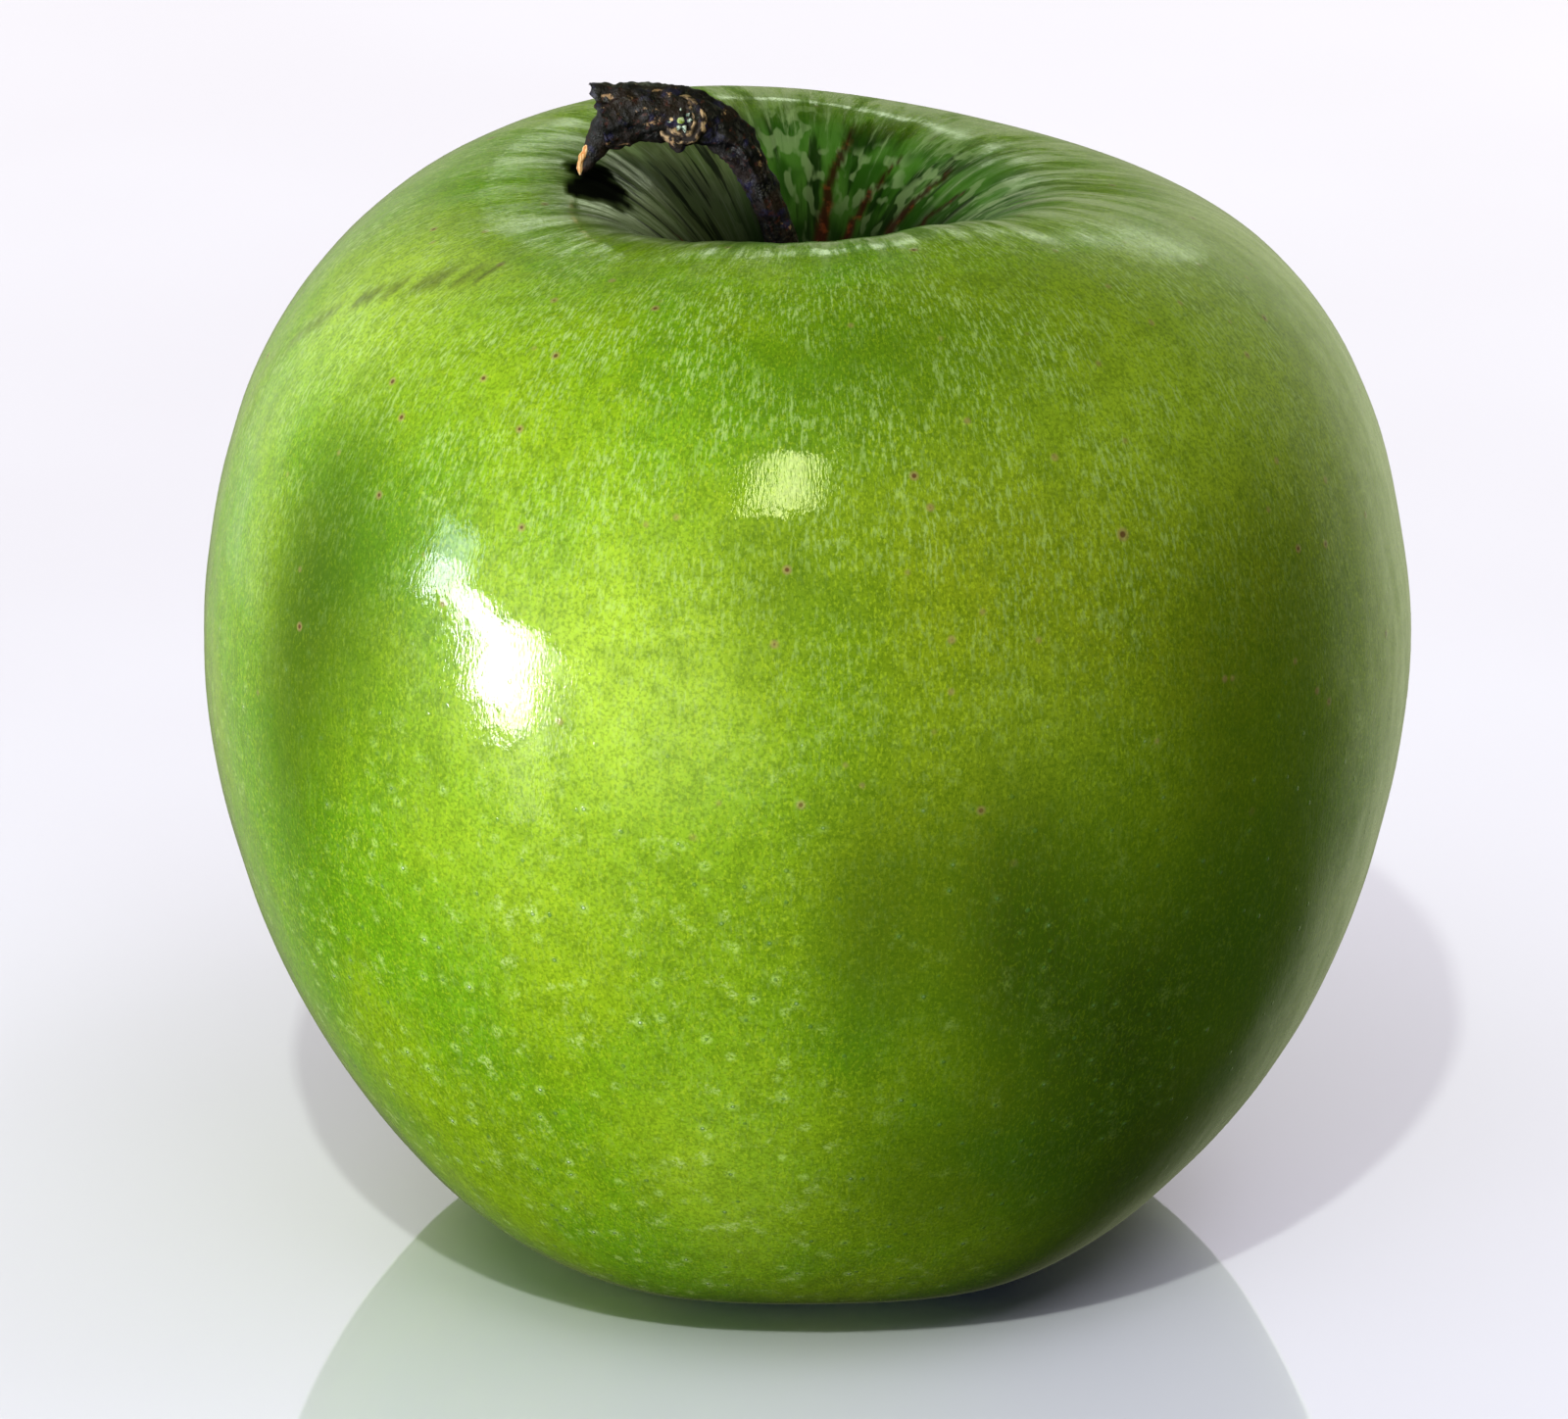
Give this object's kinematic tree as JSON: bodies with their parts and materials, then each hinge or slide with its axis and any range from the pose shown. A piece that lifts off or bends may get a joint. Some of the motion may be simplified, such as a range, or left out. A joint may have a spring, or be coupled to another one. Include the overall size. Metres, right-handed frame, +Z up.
{
  "type": "apple",
  "caption": "Whole green apple with a short broken stalk in its cavity, standing upright on the ring round its dried flower end.",
  "frame": {"origin": "on the ground, under the middle of the fruit: the centre of the bottom of its bounding box", "axes": "+Z up along the core, from the dried flower end to the stalk; the stalk leans over towards -X; -Y is the front"},
  "size_m": [0.08, 0.08, 0.0785],
  "materials": {
    "apple_skin": "waxy fruit skin, glossy, yellow-green with pale flecks and small dots",
    "stalk_bark": "dark dry bark, rough",
    "dried_calyx": "dry brown leaf tissue, matte"
  },
  "bodies": {
    "root": {"fruit": "apple_skin", "stalk": "stalk_bark", "calyx_sepal_1": "dried_calyx", "calyx_sepal_2": "dried_calyx", "calyx_sepal_3": "dried_calyx", "calyx_sepal_4": "dried_calyx", "calyx_sepal_5": "dried_calyx", "withered_styles": "dried_calyx"}
  },
  "joints": []
}
